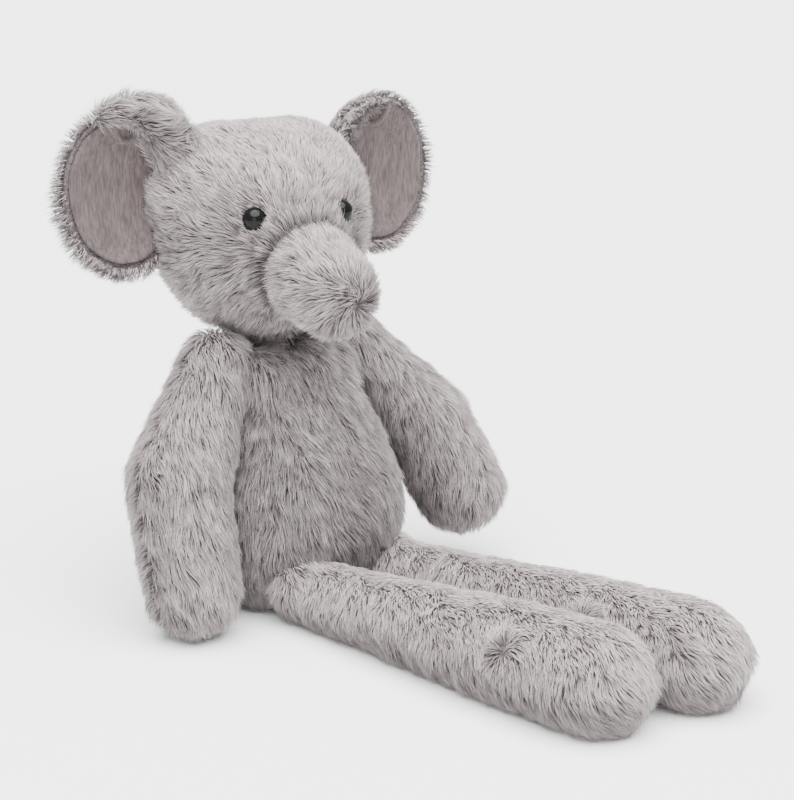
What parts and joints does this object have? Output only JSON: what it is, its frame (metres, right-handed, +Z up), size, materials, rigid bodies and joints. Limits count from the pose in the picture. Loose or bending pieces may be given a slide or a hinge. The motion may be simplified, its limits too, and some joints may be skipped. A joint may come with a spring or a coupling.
{
  "type": "stuffed toy elephant",
  "caption": "Long-legged soft elephant in long grey pile, sitting, with velour-lined ears, a short blunt trunk and beans in its seat and feet.",
  "frame": {"origin": "the point of the flat seat that rests on the floor, under the torso", "axes": "+Z up, the toy faces -Y, its own left is +X"},
  "size_m": [0.2255, 0.3545, 0.2665],
  "materials": {
    "pile_fabric": "long soft pile, warm light grey with paler tips",
    "ear_velour": "short smooth velour, warm mauve grey",
    "stuffing": "white polyester fibre",
    "pouch_cloth": "plain woven cotton",
    "beans": "loose plastic pellets",
    "eye": "polished black",
    "washer": "moulded, plain",
    "label": "white satin ribbon, blank"
  },
  "bodies": {
    "torso": {"torso_seat_panel": "pile_fabric", "torso_front_panel": "pile_fabric", "torso_back_left_panel": "pile_fabric", "torso_back_right_panel": "pile_fabric", "torso_stuffing": "stuffing", "seat_bean_pouch": "pouch_cloth", "seat_beans": "beans", "care_label": "label"},
    "neck": {"neck_cover": "pile_fabric", "neck_stuffing": "stuffing"},
    "head": {"head_back_panel": "pile_fabric", "chin_panel": "pile_fabric", "forehead_gusset": "pile_fabric", "face_left_panel": "pile_fabric", "face_right_panel": "pile_fabric", "head_stuffing": "stuffing", "eye_left": "eye", "eye_right": "eye", "eye_washer_left": "washer", "eye_washer_right": "washer"},
    "trunk": {"trunk_top_panel": "pile_fabric", "trunk_under_panel": "pile_fabric", "trunk_tip_panel": "pile_fabric", "trunk_stuffing": "stuffing"},
    "ear_left": {"ear_left_pile": "pile_fabric", "ear_left_lining": "ear_velour"},
    "ear_right": {"ear_right_pile": "pile_fabric", "ear_right_lining": "ear_velour"},
    "tail": {"tail_tube": "pile_fabric", "tail_tuft": "pile_fabric"},
    "arm_left": {"arm_left_front_panel": "pile_fabric", "arm_left_back_panel": "pile_fabric", "arm_left_stuffing": "stuffing"},
    "leg_left": {"leg_left_top_panel": "pile_fabric", "leg_left_under_panel": "pile_fabric", "foot_left_panel": "pile_fabric", "leg_left_stuffing": "stuffing", "foot_left_bean_pouch": "pouch_cloth", "foot_left_beans": "beans"},
    "arm_right": {"arm_right_front_panel": "pile_fabric", "arm_right_back_panel": "pile_fabric", "arm_right_stuffing": "stuffing"},
    "leg_right": {"leg_right_top_panel": "pile_fabric", "leg_right_under_panel": "pile_fabric", "foot_right_panel": "pile_fabric", "leg_right_stuffing": "stuffing", "foot_right_bean_pouch": "pouch_cloth", "foot_right_beans": "beans"}
  },
  "joints": [
    {"name": "head_turn", "type": "hinge", "parent": "torso", "child": "neck", "pos_m": [0, 0.02, 0.146], "axis": [0, 0, 1], "range_deg": [-30, 45], "stiffness_Nm_per_rad": 1.5},
    {"name": "head_nod", "type": "hinge", "parent": "neck", "child": "head", "pos_m": [0, 0.02, 0.146], "axis": [-0.9703, 0.2419, 0], "range_deg": [-12, 20], "stiffness_Nm_per_rad": 1.5},
    {"name": "trunk_lift", "type": "hinge", "parent": "head", "child": "trunk", "pos_m": [-0.01831, -0.02737, 0.186], "axis": [-0.9703, 0.2419, 0], "range_deg": [-10, 30], "stiffness_Nm_per_rad": 0.3},
    {"name": "ear_left_fold", "type": "hinge", "parent": "head", "child": "ear_left", "pos_m": [0.05152, 0.01706, 0.223], "axis": [0, 0, -1], "range_deg": [-15, 30], "stiffness_Nm_per_rad": 0.06},
    {"name": "ear_right_fold", "type": "hinge", "parent": "head", "child": "ear_right", "pos_m": [-0.0591, 0.04464, 0.223], "axis": [0, 0, 1], "range_deg": [-15, 30], "stiffness_Nm_per_rad": 0.06},
    {"name": "arm_left_swing", "type": "hinge", "parent": "torso", "child": "arm_left", "pos_m": [0.0495, 0.012, 0.127], "axis": [-1, 0, 0], "range_deg": [-40, 95], "stiffness_Nm_per_rad": 0.8},
    {"name": "arm_right_swing", "type": "hinge", "parent": "torso", "child": "arm_right", "pos_m": [-0.0495, 0.015, 0.127], "axis": [-1, 0, 0], "range_deg": [-40, 95], "stiffness_Nm_per_rad": 0.8},
    {"name": "leg_left_swing", "type": "hinge", "parent": "torso", "child": "leg_left", "pos_m": [0.027, -0.047, 0.0175], "axis": [-1, 0, 0], "range_deg": [-80, 30]},
    {"name": "leg_right_swing", "type": "hinge", "parent": "torso", "child": "leg_right", "pos_m": [-0.027, -0.047, 0.0175], "axis": [-1, 0, 0], "range_deg": [-80, 30]},
    {"name": "tail_swing", "type": "hinge", "parent": "torso", "child": "tail", "pos_m": [0, 0.055, 0.026], "axis": [1, 0, 0], "range_deg": [-25, 40], "stiffness_Nm_per_rad": 0.03}
  ]
}
